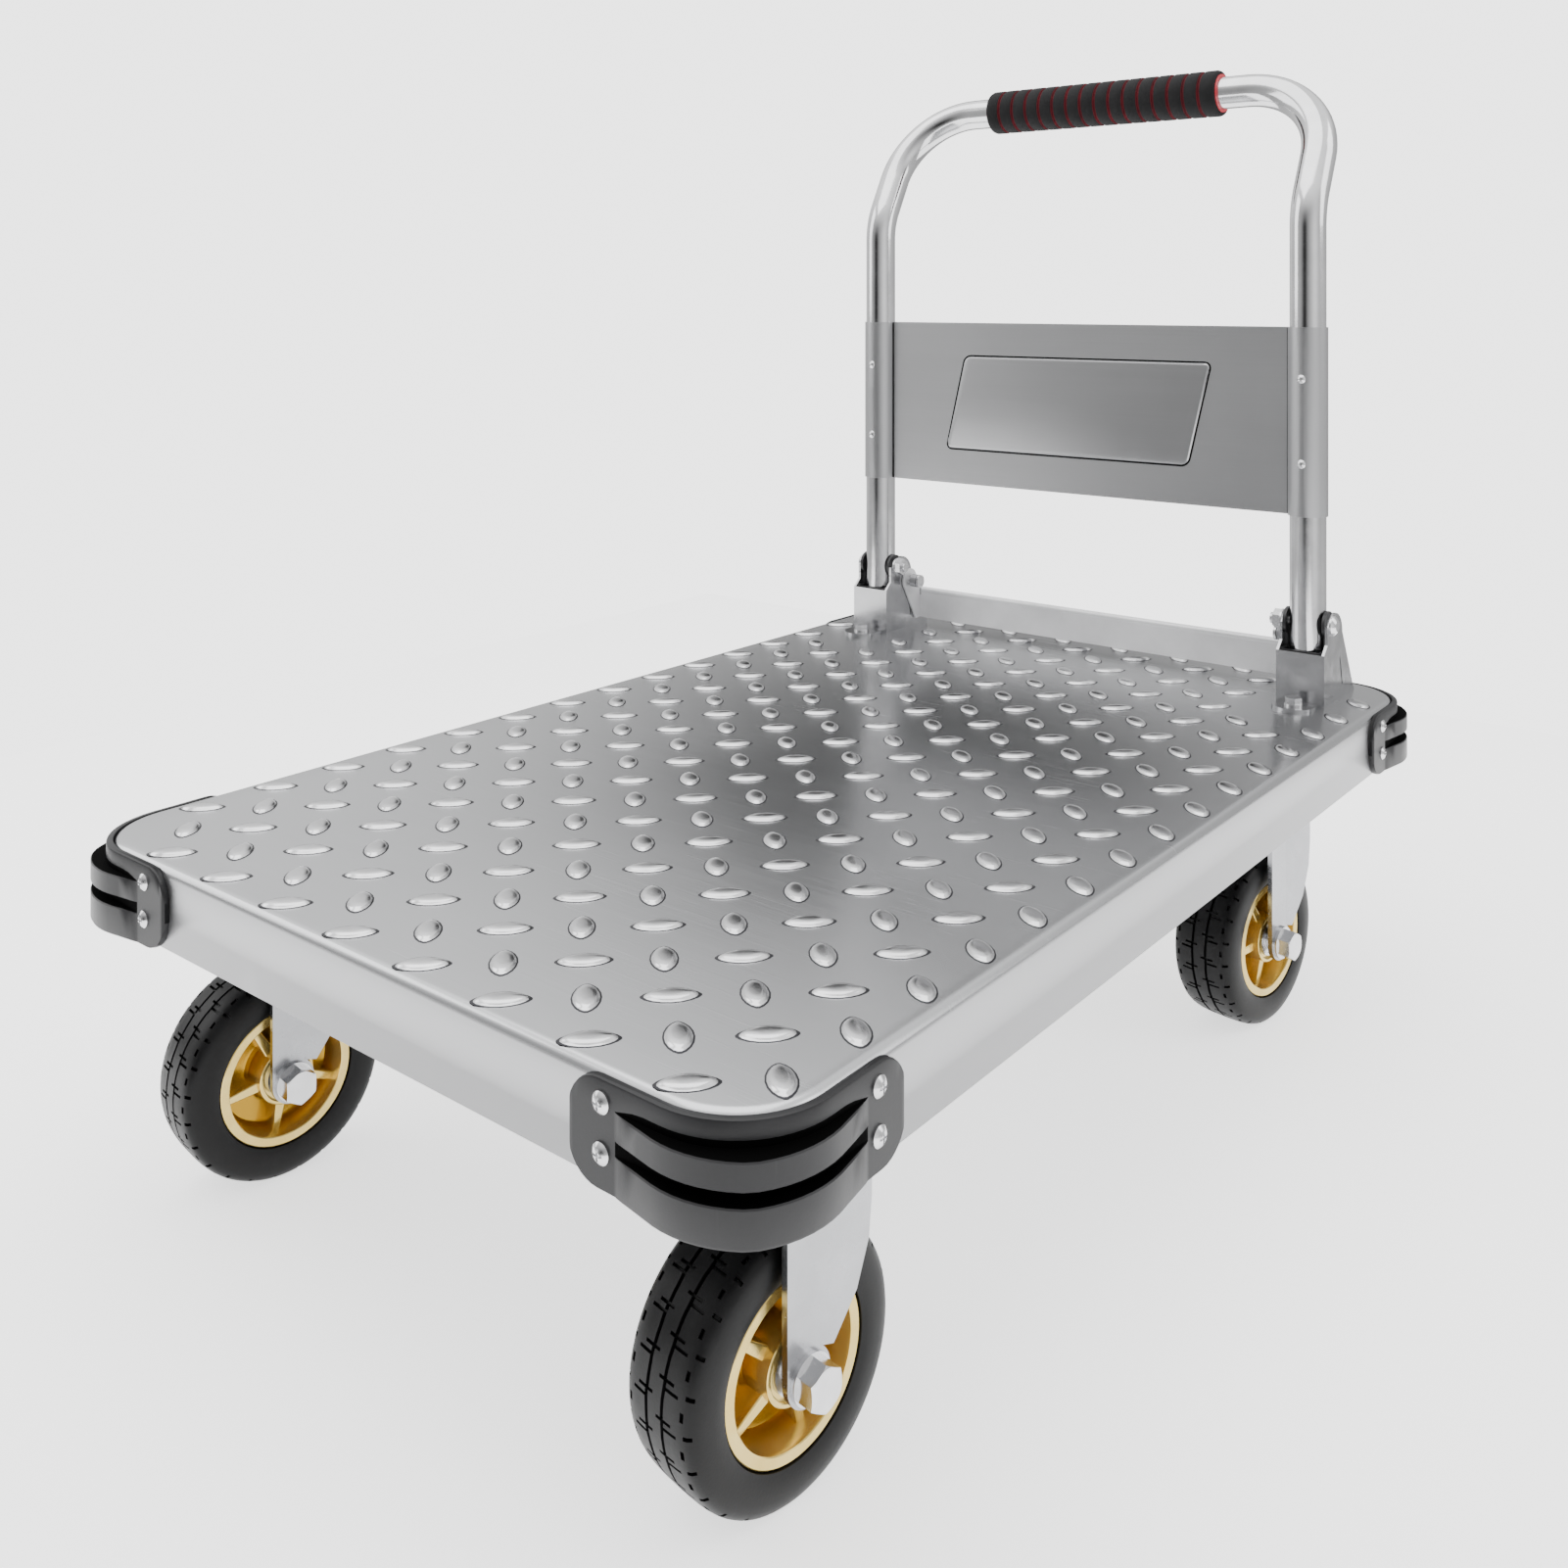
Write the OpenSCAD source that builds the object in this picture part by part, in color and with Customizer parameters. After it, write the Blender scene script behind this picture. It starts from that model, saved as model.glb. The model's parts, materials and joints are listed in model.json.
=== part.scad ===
// Flatbed platform truck with a folding handle, four swivel casters and a foot pedal.
// Millimetres, +Z up, +Y towards the handle end, origin on the floor under the deck's centre.

/* [Deck] */
// Width of the deck across its skirts
deck_w = 600; // [450:1:800]
// Length of the deck along its skirts
deck_l = 950; // [700:1:1250]
// Height of the flat deck surface above the floor
deck_top = 250; // [220:1:320]
// Height of the deck's skirt
skirt_h = 52; // [40:1:60]
// Thickness of the deck sheet
sheet_t = 2; // [1.5:0.1:3]
// Outer corner radius of the deck in plan
corner_r = 52; // [35:1:80]
// Radius of the rounded edge between deck and skirt
edge_r = 6; // [3:0.5:10]

/* [Treads] */
// Half the spacing of the raised treads across one row
tread_px = 32.9; // [28:0.1:40]
// Spacing of the tread rows along the deck
tread_py = 29.6; // [26:0.1:40]
// Number of tread rows
tread_rows = 32; // [20:1:40]
// Number of treads in a wide row
tread_cols = 9; // [5:1:13]
// Length of one tread
tread_l = 32; // [20:0.5:40]
// Width of one tread
tread_w = 15; // [8:0.5:20]
// Height of one tread at its crown
tread_h = 2.4; // [1:0.1:4]

/* [Under-frame] */
// Width of each long rail
rail_w = 118; // [110:1:140]
// Thickness of the rail and cross member sheet
rail_t = 2.5; // [2:0.1:4]
// Width of each cross member
cross_w = 60; // [40:1:90]

/* [Corner bumpers] */
// Length of each bumper arm from the outer corner
bump_len = 112; // [90:1:140]
// Thickness of the bumper plate
bump_t = 4.5; // [3:0.1:7]
// How far the bumper rails stand out beyond the plate
bump_rail = 6.5; // [3:0.1:10]
// Distance from the outer corner to the screws
bump_screw = 89; // [70:1:110]
// Radius of the screw shanks
screw_r = 2.5; // [2:0.1:3]

/* [Handle] */
// Half the distance between the two posts
post_x = 238; // [180:1:330]
// Distance from the deck's rear edge to the posts
post_back = 86; // [70:1:140]
// Outer radius of the handle tube
tube_r = 16; // [12:0.1:20]
// Wall of the handle tube
tube_t = 2; // [1.5:0.1:3]
// Height above the deck where the posts begin to lean back
elbow_up = 449; // [300:1:600]
// Lean of the handle's upper part
lean = 28.5; // [0:0.5:45]
// Length of the leaning part, measured to the bar
lean_len = 138; // [115:1:220]
// Bend radius of the corners beside the grip
bend_r = 82; // [60:1:110]
// Bend radius where the posts lean back
elbow_r = 70; // [50:1:120]
// Length of the foam grip
grip_l = 259; // [150:1:300]
// Outer radius of the foam grip
grip_r = 23; // [20:0.5:28]
// Number of grooves round the grip
grip_n = 15; // [5:1:20]

/* [Panel] */
// Height above the deck of the panel's lower edge
panel_lo = 168; // [120:1:250]
// Height of the panel
panel_h = 172; // [100:1:250]
// Thickness of the panel sheet
panel_t = 1.6; // [1:0.1:3]

/* [Brackets and pedal] */
// Height of the folding pivot above the deck
pivot_up = 70; // [62:1:85]
// Radius of the pivot bolts
pivot_r = 5; // [4:0.1:6]
// Thickness of the bracket sheet
brk_t = 2.5; // [2:0.1:4]
// Thickness of the plastic liner cheeks
liner_t = 3; // [2:0.1:4]
// Radius of the pedal pins
pin_r = 4; // [3:0.1:5]

/* [Casters] */
// Outer radius of the tyre
wheel_r = 72; // [60:0.5:72.5]
// Width of the tyre
tyre_w = 54; // [40:1:56]
// Distance from the sides of the deck to the kingpins
king_in = 73; // [70:1:120]
// Distance from the front edge of the deck to the front kingpins
king_front = 139; // [110:1:180]
// Distance from the rear edge of the deck to the rear kingpins
king_rear = 160; // [110:1:200]
// Distance of the axle behind the kingpin
trail = 38; // [20:1:45]
// Rest angle of all four casters about their kingpins
caster_yaw = 8; // [0:1:30]
// Radius of the axle bolts
axle_r = 6; // [5:0.1:8]

/* [Hidden] */
$fn = 64;
run_c = 0.05;
post_y = deck_l / 2 - post_back;
pivot_z = deck_top + pivot_up;
tube_lo = deck_top + 12;
elbow_z = deck_top + elbow_up;
skirt_z = deck_top - skirt_h;
under_z = deck_top - sheet_t;
plate_top = skirt_z + 6;
plate_t = 4;
rail_z = plate_top;
king_x = deck_w / 2 - king_in;
king_yf = -deck_l / 2 + king_front;
king_yr = deck_l / 2 - king_rear;
ball_r = 3.5;
ball_z = plate_top - 10;
ball_ring = 28;
crown_z1 = ball_z - 4;
crown_z0 = crown_z1 - 5;
crown_r = 36;
leg_in = tyre_w / 2 + 4;
leg_t = 4;
leg_half = 15;
hub_w = tyre_w - 4;
bearing_r = 14;
bearing_w = 8;
rim_r = 44;
lip_r = 47.5;
lean_dy = lean_len * sin(lean);
lean_dz = lean_len * cos(lean);
bar_y = post_y + lean_dy;
bar_z = elbow_z + lean_dz;
sleeve_r = tube_r + run_c + panel_t;
panel_z = deck_top + panel_lo;
cheek_in = tube_r + 0.3;
flange_in = cheek_in + liner_t + 0.1;
flange_out = flange_in + brk_t;
web_y = post_y - tube_r - 0.3 - 2 - 0.1 - brk_t;
pin_y = post_y + 22;
pin_z = deck_top + 52;
arm_x = post_x - flange_out - 2.6;
strip_y = post_y + 41;
strip_z = deck_top + 8;
strip_h = 30;
bolt_c = 0.05;
corners = [["fl", -1, -1], ["fr", 1, -1], ["rl", -1, 1], ["rr", 1, 1]];

// ---------- helpers ----------
module xcyl(r, x0, x1) {
  translate([x0, 0, 0]) rotate([0, 90, 0]) cylinder(r = r, h = x1 - x0);
}

module ycyl(r, y0, y1) {
  translate([0, y0, 0]) rotate([-90, 0, 0]) cylinder(r = r, h = y1 - y0);
}

module block(x0, x1, y0, y1, z0, z1) {
  translate([x0, y0, z0]) cube([x1 - x0, y1 - y0, z1 - z0]);
}

module hex(af, h) {
  cylinder(r = af / 2 / cos(30), h = h, $fn = 6);
}

module round_box(w, l, r, h) {
  block(-w / 2 + r, w / 2 - r, -l / 2, l / 2, 0, h);
  block(-w / 2, w / 2, -l / 2 + r, l / 2 - r, 0, h);
  for (x = [-1, 1], y = [-1, 1]) {
    translate([x * (w / 2 - r), y * (l / 2 - r), 0]) cylinder(r = r, h = h);
  }
}

// Section of a corner block r deep and h high whose outer top edge is rounded by e.
module soft_corner(r, h, e) {
  difference() {
    square([r, h]);
    difference() {
      translate([r - e, h - e]) square(e + 1);
      translate([r - e, h - e]) circle(r = e);
    }
  }
}

module skin_section() {
  difference() {
    soft_corner(corner_r, skirt_h, edge_r);
    translate([-1, -1]) {
      soft_corner(corner_r - sheet_t + 1, skirt_h - sheet_t + 1, edge_r - sheet_t);
    }
  }
}

module skin_side(half, len) {
  translate([half - corner_r, 0, skirt_z]) rotate([90, 0, 0]) {
    linear_extrude(len, center = true) skin_section();
  }
}

module place_caster(i) {
  x = corners[i][1] * king_x;
  y = corners[i][2] < 0 ? king_yf : king_yr;
  translate([x, y, 0]) rotate([0, 0, -caster_yaw]) children();
}

module at_corner(i) {
  sx = corners[i][1];
  sy = corners[i][2];
  translate([sx * (deck_w / 2 - corner_r), sy * (deck_l / 2 - corner_r), 0]) {
    mirror([sx < 0 ? 1 : 0, 0, 0]) mirror([0, sy < 0 ? 1 : 0, 0]) children();
  }
}

// ---------- deck ----------
// One tread's outline, a pointed oval shrunk by e all round.
module tread_outline(turn, e) {
  half_l = tread_l / 2 - 1.4 * e;
  half_w = tread_w / 2 - e;
  cut_r = (half_l * half_l + half_w * half_w) / (2 * half_w);
  rotate(turn) intersection() {
    translate([0, cut_r - half_w]) circle(r = cut_r);
    translate([0, half_w - cut_r]) circle(r = cut_r);
  }
}

function in_foot(x, y) = abs(abs(x) - post_x) < flange_out + 17 && y > web_y - 48;

// Rows alternate: odd rows start half a pitch further out and turn their treads the other way.
module treads(e, h) {
  half = tread_cols - 0.5;
  last = tread_rows - 1;
  translate([0, 0, deck_top - 0.5]) linear_extrude(h + 0.5) {
    for (k = [0 : last], j = [0 : tread_cols - 1]) {
      odd = k % 2;
      x = tread_px * (half - 1 + odd - 2 * j);
      y = tread_py * (k - last / 2);
      at_rounding = (k == 0 && j == tread_cols - 1) || (k == last && j == 0);
      if (!at_rounding && !in_foot(x, y)) translate([x, y]) tread_outline(odd == 1 ? -45 : 45, e);
    }
  }
}

module bumper_holes(r, x0, x1) {
  for (i = [0 : 3]) at_corner(i) {
    for (z = [12, 36]) {
      translate([0, corner_r - bump_screw, deck_top - z]) xcyl(r, corner_r + x0, corner_r + x1);
      translate([corner_r - bump_screw, 0, deck_top - z]) ycyl(r, corner_r + x0, corner_r + x1);
    }
  }
}

module foot_holes(r, z0, z1) {
  for (s = [-1, 1], y = [web_y - 16, web_y + 62]) {
    translate([s * post_x, y, z0]) cylinder(r = r, h = z1 - z0);
  }
}

module deck_pan() {
  x = deck_w / 2 - corner_r;
  y = deck_l / 2 - corner_r;
  color("silver") difference() {
    union() {
      block(-x, x, -y, y, under_z, deck_top);
      for (m = [0, 1]) {
        mirror([m, 0, 0]) skin_side(deck_w / 2, 2 * y);
        rotate([0, 0, 90 + 180 * m]) skin_side(deck_l / 2, 2 * x);
      }
      for (i = [0 : 3]) at_corner(i) {
        translate([0, 0, skirt_z]) rotate_extrude(angle = 90) skin_section();
      }
      treads(0, tread_h * 0.5);
      treads(2.2, tread_h);
    }
    bumper_holes(screw_r + bolt_c, -sheet_t - 1, 1);
    foot_holes(4 + bolt_c, under_z - 1, deck_top + 1);
  }
}

// ---------- under-frame ----------
module rail(side) {
  l = deck_l - 2 * edge_r - 4;
  h = under_z - rail_z;
  color("dimgray") difference() {
    translate([side * king_x, 0, rail_z]) difference() {
      block(-rail_w / 2, rail_w / 2, -l / 2, l / 2, 0, h);
      block(-rail_w / 2 + rail_t, rail_w / 2 - rail_t, -l / 2 - 1, l / 2 + 1, rail_t, h + 1);
    }
    plate_holes(4 + bolt_c, rail_z - 1, rail_z + rail_t + 1);
    corner_clear();
  }
}

module corner_clear() {
  difference() {
    block(-deck_w, deck_w, -deck_l, deck_l, rail_z - 1, deck_top + 1);
    translate([0, 0, rail_z - 2]) {
      round_box(deck_w - 2 * edge_r - 2, deck_l - 2 * edge_r - 2, corner_r - edge_r - 1,
        skirt_h + 4);
    }
  }
}

module cross(y) {
  w = 2 * king_x - rail_w;
  h = under_z - rail_z - 6;
  color("dimgray") translate([0, y, under_z - h]) difference() {
    block(-w / 2, w / 2, -cross_w / 2, cross_w / 2, 0, h);
    block(-w / 2 - 1, w / 2 + 1, -cross_w / 2 + rail_t, cross_w / 2 - rail_t, rail_t, h + 1);
  }
}

// ---------- corner bumpers ----------
// One corner's wrap between two offsets from the skirt, arms reaching len from the outer corner.
module wrap(o0, o1, len, z0, z1) {
  a = len - corner_r;
  intersection() {
    difference() {
      translate([0, 0, z0]) cylinder(r = corner_r + o1, h = z1 - z0);
      translate([0, 0, z0 - 1]) cylinder(r = corner_r + o0, h = z1 - z0 + 2);
    }
    block(0, 2 * corner_r, 0, 2 * corner_r, z0 - 1, z1 + 1);
  }
  block(corner_r + o0, corner_r + o1, -a, 0, z0, z1);
  block(-a, 0, corner_r + o0, corner_r + o1, z0, z1);
}

module arm_end(z0, z1, o0, o1) {
  e = 20;
  y = corner_r - bump_len + e;
  block(corner_r + o0, corner_r + o1, y - e, y, z0 + e, z1 - e);
  for (z = [z0 + e, z1 - e]) translate([0, y, z]) xcyl(e, corner_r + o0, corner_r + o1);
}

module bumper_rail(z0, z1) {
  o0 = bump_t - 0.5;
  o1 = bump_t + bump_rail;
  len = 80;
  difference() {
    wrap(o0, o1, len, z0, z1);
    translate([corner_r + o1, corner_r - len, z0 - 1]) rotate([0, 0, 45]) {
      cube([20, 2 * bump_rail, 4 * (z1 - z0)], center = true);
    }
    translate([corner_r - len, corner_r + o1, z0 - 1]) rotate([0, 0, 45]) {
      cube([2 * bump_rail, 20, 4 * (z1 - z0)], center = true);
    }
  }
}

module bumper(i) {
  gap = 0.1;
  z0 = skirt_z - 2;
  z1 = deck_top - 1;
  color("black") difference() {
    at_corner(i) {
      wrap(gap, bump_t, bump_len - 20, z0, z1);
      arm_end(z0, z1, gap, bump_t);
      mirror([1, -1, 0]) arm_end(z0, z1, gap, bump_t);
      bumper_rail(deck_top - 27.5, deck_top - 10.5);
      bumper_rail(z0, deck_top - 36.5);
    }
    bumper_holes(screw_r + bolt_c, -1, bump_t + 1);
  }
}

module screw() {
  difference() {
    union() {
      cylinder(r = screw_r, h = 14);
      translate([0, 0, 14]) intersection() {
        cylinder(r = 5.5, h = 3.2);
        translate([0, 0, -4]) sphere(r = 7.4);
      }
    }
    for (a = [0, 90]) {
      rotate([0, 0, a]) translate([-3, -0.6, 15.8]) cube([6, 1.2, 3]);
    }
  }
}

module bumper_screws() {
  color("gainsboro") for (i = [0 : 3]) at_corner(i) {
    for (z = [12, 36]) {
      translate([corner_r + bump_t - 13.95, corner_r - bump_screw, deck_top - z]) {
        rotate([0, 90, 0]) screw();
      }
      translate([corner_r - bump_screw, corner_r + bump_t - 13.95, deck_top - z]) {
        rotate([-90, 0, 0]) screw();
      }
    }
  }
}

// ---------- folding brackets ----------
module flange_outline() {
  top = pivot_up - 24;
  difference() {
    union() {
      polygon([[web_y, 0], [web_y, top], [web_y + 9, top + 8], [post_y - 12, pivot_up],
        [post_y + 28, pivot_up - 10], [post_y + 60, 0]]);
      translate([post_y + 8, pivot_up - 10]) circle(r = 20);
    }
    translate([post_y + 26, 12]) rotate(14) square([2.2, 27]);
  }
}

module bracket(s) {
  foot = 34;
  color("gainsboro") difference() {
    translate([s * post_x, 0, deck_top]) {
      for (m = [0, 1]) mirror([m, 0, 0]) translate([flange_in, 0, 0]) {
        rotate([90, 0, 90]) linear_extrude(brk_t) flange_outline();
      }
      block(-flange_out, flange_out, web_y, web_y + brk_t, 0, pivot_up - 24);
      block(-flange_out, flange_out, web_y, post_y + 60, 0, brk_t);
      block(-flange_out + 4, flange_out - 4, web_y - foot + 12, web_y + 1, 0, brk_t);
      translate([0, web_y - foot + 17.9, 0]) cylinder(r = flange_out - 4, h = brk_t);
    }
    translate([0, post_y, pivot_z]) xcyl(pivot_r + run_c, -deck_w, deck_w);
    foot_holes(4 + bolt_c, deck_top - 1, deck_top + brk_t + 1);
    translate([0, pin_y, pin_z]) {
      xcyl(pin_r + bolt_c, -post_x + flange_in - 1, post_x - flange_in + 1);
    }
  }
}

module liner(s) {
  front = post_y - tube_r - 0.3 - 2;
  z0 = deck_top + brk_t + 0.1;
  color("black") difference() {
    translate([s * post_x, 0, 0]) {
      for (m = [0, 1]) mirror([m, 0, 0]) {
        block(cheek_in, cheek_in + liner_t, front, post_y + 8, z0, deck_top + pivot_up - 22);
        block(cheek_in, cheek_in + liner_t, post_y - 7, post_y + 7, z0, pivot_z);
        translate([0, post_y, pivot_z]) xcyl(12.5, cheek_in, cheek_in + liner_t);
      }
      block(-cheek_in - liner_t, cheek_in + liner_t, front, front + 2, z0, pivot_z - 23);
    }
    translate([0, post_y, pivot_z]) xcyl(pivot_r + run_c, -deck_w, deck_w);
  }
}

module foot_bolt() {
  hex(13, 5.3);
  translate([0, 0, -1.6]) cylinder(r = 8, h = 1.65);
  translate([0, 0, -14]) cylinder(r = 4, h = 15);
  translate([0, 0, -12.2]) hex(13, 6);
}

module bracket_bolts() {
  color("gainsboro") for (s = [-1, 1], y = [web_y - 16, web_y + 62]) {
    translate([s * post_x, y, deck_top + brk_t + 1.65]) foot_bolt();
  }
}

module pivot_bolts() {
  color("gainsboro") for (s = [-1, 1]) translate([s * post_x, post_y, pivot_z]) {
    mirror([s < 0 ? 1 : 0, 0, 0]) {
      xcyl(pivot_r, -flange_out - 12, flange_out + 1);
      translate([flange_out + 0.05, 0, 0]) rotate([0, 90, 0]) intersection() {
        cylinder(r = 9, h = 5);
        translate([0, 0, -5]) sphere(r = 11.2);
      }
    }
  }
}

module pivot_nuts() {
  color("silver") for (s = [-1, 1]) translate([s * post_x, post_y, pivot_z]) {
    mirror([s < 0 ? 1 : 0, 0, 0]) rotate([0, -90, 0]) {
      translate([0, 0, flange_out + 0.05]) difference() {
        union() {
          cylinder(r = 9.5, h = 1.6);
          translate([0, 0, 1.5]) hex(16, 7);
        }
        translate([0, 0, -1]) cylinder(r = pivot_r + 0.02, h = 20);
      }
    }
  }
}

module pedal_pins() {
  color("silver") for (s = [-1, 1]) translate([0, pin_y, pin_z]) {
    mirror([s < 0 ? 1 : 0, 0, 0]) {
      xcyl(pin_r, arm_x - 12, post_x - flange_in - 0.2);
      xcyl(pin_r + 3, arm_x - 14, arm_x - 11.5);
    }
  }
}

module pedal_springs() {
  wire = 0.9;
  color("dimgray") for (s = [-1, 1]) translate([0, pin_y, pin_z]) {
    mirror([s < 0 ? 1 : 0, 0, 0]) {
      translate([arm_x - 10.5, 0, 0]) rotate([0, 90, 0]) rotate_extrude() {
        for (k = [0 : 4]) {
          translate([pin_r + 1.2 + wire, 0.9 + 1.5 * k]) circle(r = wire);
        }
      }
      translate([arm_x - 9.6, pin_r + 1.2 + wire, -16]) cylinder(r = wire - 0.2, h = 16);
    }
  }
}

// ---------- pedal ----------
module arm_outline() {
  difference() {
    union() {
      translate([pin_y, pin_z]) circle(r = 13);
      polygon([[pin_y - 10, pin_z - 8], [pin_y + 12, pin_z + 5], [strip_y + 2, strip_z + strip_h],
        [strip_y + 2, strip_z], [strip_y - 8, strip_z]]);
    }
    translate([pin_y, pin_z]) circle(r = pin_r + run_c);
  }
}

module pedal() {
  w = arm_x + brk_t;
  color("lightgray") {
    for (m = [0, 1]) mirror([m, 0, 0]) translate([arm_x, 0, 0]) {
      rotate([90, 0, 90]) linear_extrude(brk_t - 0.5) arm_outline();
    }
    block(-w + 0.5, w - 0.5, strip_y, strip_y + 2, strip_z, strip_z + strip_h);
    translate([0, strip_y + 3, strip_z + strip_h]) xcyl(3.6, -arm_x + 0.2, arm_x - 0.2);
    block(-arm_x + 4, arm_x - 4, strip_y, strip_y + 9, strip_z, strip_z + 2);
  }
}

// ---------- handle ----------
module arc_piece(r, bend, turn) {
  rotate_extrude(angle = turn) translate([bend, 0]) circle(r = r);
}

// Half of the handle's tube path, from the floor end of the right post to the middle of the bar.
module tube_half(r, lo) {
  cut = elbow_r * tan(lean / 2);
  translate([post_x, post_y, lo]) cylinder(r = r, h = elbow_z - cut + 2 - lo);
  translate([post_x, post_y + elbow_r, elbow_z - cut]) rotate([90, 0, -90]) {
    arc_piece(r + 0.15, elbow_r, lean);
  }
  translate([post_x, post_y, elbow_z]) rotate([-lean, 0, 0]) {
    translate([0, 0, cut - 2]) cylinder(r = r, h = lean_len - cut + 2 - bend_r);
    translate([-bend_r, 0, lean_len - bend_r]) rotate([90, 0, 0]) arc_piece(r, bend_r, 90);
    translate([-post_x, 0, lean_len]) xcyl(r, -0.5, post_x - bend_r);
  }
}

module handle_tube() {
  color("silver") difference() {
    for (m = [0, 1]) mirror([m, 0, 0]) tube_half(tube_r, tube_lo);
    for (m = [0, 1]) mirror([m, 0, 0]) tube_half(tube_r - tube_t, tube_lo - 1);
    translate([0, post_y, pivot_z]) xcyl(pivot_r + run_c, -deck_w, deck_w);
    rivet_holes(2 + bolt_c);
  }
}

module rivet_holes(r) {
  for (s = [-1, 1], z = [48, 125]) {
    translate([s * post_x, post_y, panel_z + z]) ycyl(r, -sleeve_r - 1, 0);
  }
}

module emboss() {
  r = 7;
  skew = 24;
  w = 272;
  h = 98;
  rotate([90, 0, 0]) linear_extrude(1.4) union() {
    polygon([[-w / 2 - skew / 2 + r, 0], [w / 2 - skew / 2 - r, 0], [w / 2 + skew / 2 - r, h],
      [-w / 2 + skew / 2 + r, h]]);
    polygon([[-w / 2 - skew / 2 + 2, r], [w / 2 - skew / 2 + 1, r], [w / 2 + skew / 2 - 2, h - r],
      [-w / 2 + skew / 2 - 1, h - r]]);
    for (p = [[-w / 2 - skew / 2 + r + 1.6, r], [w / 2 - skew / 2 - r + 0.9, r],
        [w / 2 + skew / 2 - r - 1.6, h - r], [-w / 2 + skew / 2 + r - 0.9, h - r]]) {
      translate(p) circle(r = r);
    }
  }
}

module panel() {
  flat = post_x - tube_r;
  color("darkgray") difference() {
    union() {
      block(-flat, flat, post_y - panel_t, post_y, panel_z, panel_z + panel_h);
      block(-flat + 4, flat - 4, post_y - panel_t, post_y + 7, panel_z, panel_z + panel_t);
      block(-flat + 4, flat - 4, post_y - panel_t, post_y + 7, panel_z + panel_h - panel_t,
        panel_z + panel_h);
      for (s = [-1, 1]) translate([s * post_x, post_y, panel_z]) cylinder(r = sleeve_r, h = panel_h);
      translate([-2, post_y - panel_t + 0.2, panel_z + 38]) emboss();
    }
    for (s = [-1, 1]) translate([s * post_x, post_y, panel_z - 1]) {
      cylinder(r = tube_r + run_c, h = panel_h + 2);
    }
    rivet_holes(2 + bolt_c);
  }
}

module panel_rivets() {
  color("white") for (s = [-1, 1], z = [48, 125]) {
    translate([s * post_x, post_y, panel_z + z]) {
      ycyl(2, -sleeve_r, -tube_r + tube_t);
      intersection() {
        ycyl(4, -sleeve_r - 2, -sleeve_r);
        translate([0, -sleeve_r + 3.5, 0]) sphere(r = 5.3);
      }
    }
  }
}

module on_bar() {
  translate([0, bar_y, bar_z]) children();
}

module grip_foam() {
  step = grip_l / (grip_n + 1);
  color("black") on_bar() difference() {
    union() {
      xcyl(grip_r, -grip_l / 2 + 3, grip_l / 2 - 3);
      for (s = [-1, 1]) translate([s * (grip_l / 2 - 3), 0, 0]) {
        rotate([0, 90, 0]) rotate_extrude() translate([grip_r - 3, 0]) circle(r = 3);
      }
      xcyl(grip_r - 3, -grip_l / 2, grip_l / 2);
    }
    xcyl(tube_r + 3.05, -grip_l, grip_l);
    for (k = [1 : grip_n]) {
      difference() {
        xcyl(grip_r + 1, -grip_l / 2 + k * step - 1.6, -grip_l / 2 + k * step + 1.6);
        xcyl(grip_r - 2.4, -grip_l, grip_l);
      }
    }
  }
}

module grip_liner() {
  color("firebrick") on_bar() difference() {
    xcyl(tube_r + 3, -grip_l / 2 - 1, grip_l / 2 + 1);
    xcyl(tube_r + run_c, -grip_l, grip_l);
  }
}

// ---------- casters ----------
module plate_holes(r, z0, z1) {
  for (i = [0 : 3]) place_plate(i) for (x = [-1, 1], y = [-1, 1]) {
    translate([x * 46, y * 34, z0]) cylinder(r = r, h = z1 - z0);
  }
}

module place_plate(i) {
  x = corners[i][1] * king_x;
  y = corners[i][2] < 0 ? king_yf : king_yr;
  translate([x, y, 0]) children();
}

module caster_plate(i) {
  color("silver") difference() {
    place_plate(i) {
      translate([0, 0, plate_top - plate_t]) round_box(114, 92, 10, plate_t);
      translate([0, 0, ball_z + 1.2]) cylinder(r = 35, h = plate_top - ball_z - 3);
    }
    place_plate(i) {
      translate([0, 0, ball_z]) rotate_extrude() translate([ball_ring, 0]) circle(r = ball_r + run_c);
      translate([0, 0, ball_z - 1]) cylinder(r = axle_r + run_c, h = 20);
      translate([0, 0, ball_z]) cylinder(r = 18, h = plate_top - plate_t - ball_z);
      translate([0, 0, plate_top - 2.5]) cylinder(r = 9 + run_c, h = 3);
    }
    plate_holes(4 + bolt_c, plate_top - plate_t - 1, plate_top + 1);
  }
}

module plate_bolts() {
  color("gainsboro") for (i = [0 : 3]) place_plate(i) for (x = [-1, 1], y = [-1, 1]) {
    translate([x * 46, y * 34, 0]) {
      translate([0, 0, plate_top - plate_t - 8]) cylinder(r = 4, h = plate_t + rail_t + 9);
      translate([0, 0, rail_z + rail_t + 0.02]) hex(13, 5.3);
      translate([0, 0, plate_top - plate_t - 6.52]) hex(13, 6.5);
    }
  }
}

module kingpins() {
  color("gray") for (i = [0 : 3]) place_plate(i) {
    translate([0, 0, crown_z0 - 4]) cylinder(r = axle_r, h = plate_top - crown_z0 + 3);
    translate([0, 0, plate_top - 2.4]) cylinder(r = 9, h = 2.4);
    translate([0, 0, crown_z0 - 5.05]) cylinder(r = 12, h = 5);
  }
}

module swivel_balls() {
  n = 12;
  color("white") for (i = [0 : 3]) place_plate(i) for (k = [0 : n - 1]) {
    rotate([0, 0, k * 360 / n]) translate([ball_ring, 0, ball_z]) sphere(r = ball_r);
  }
}

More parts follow.
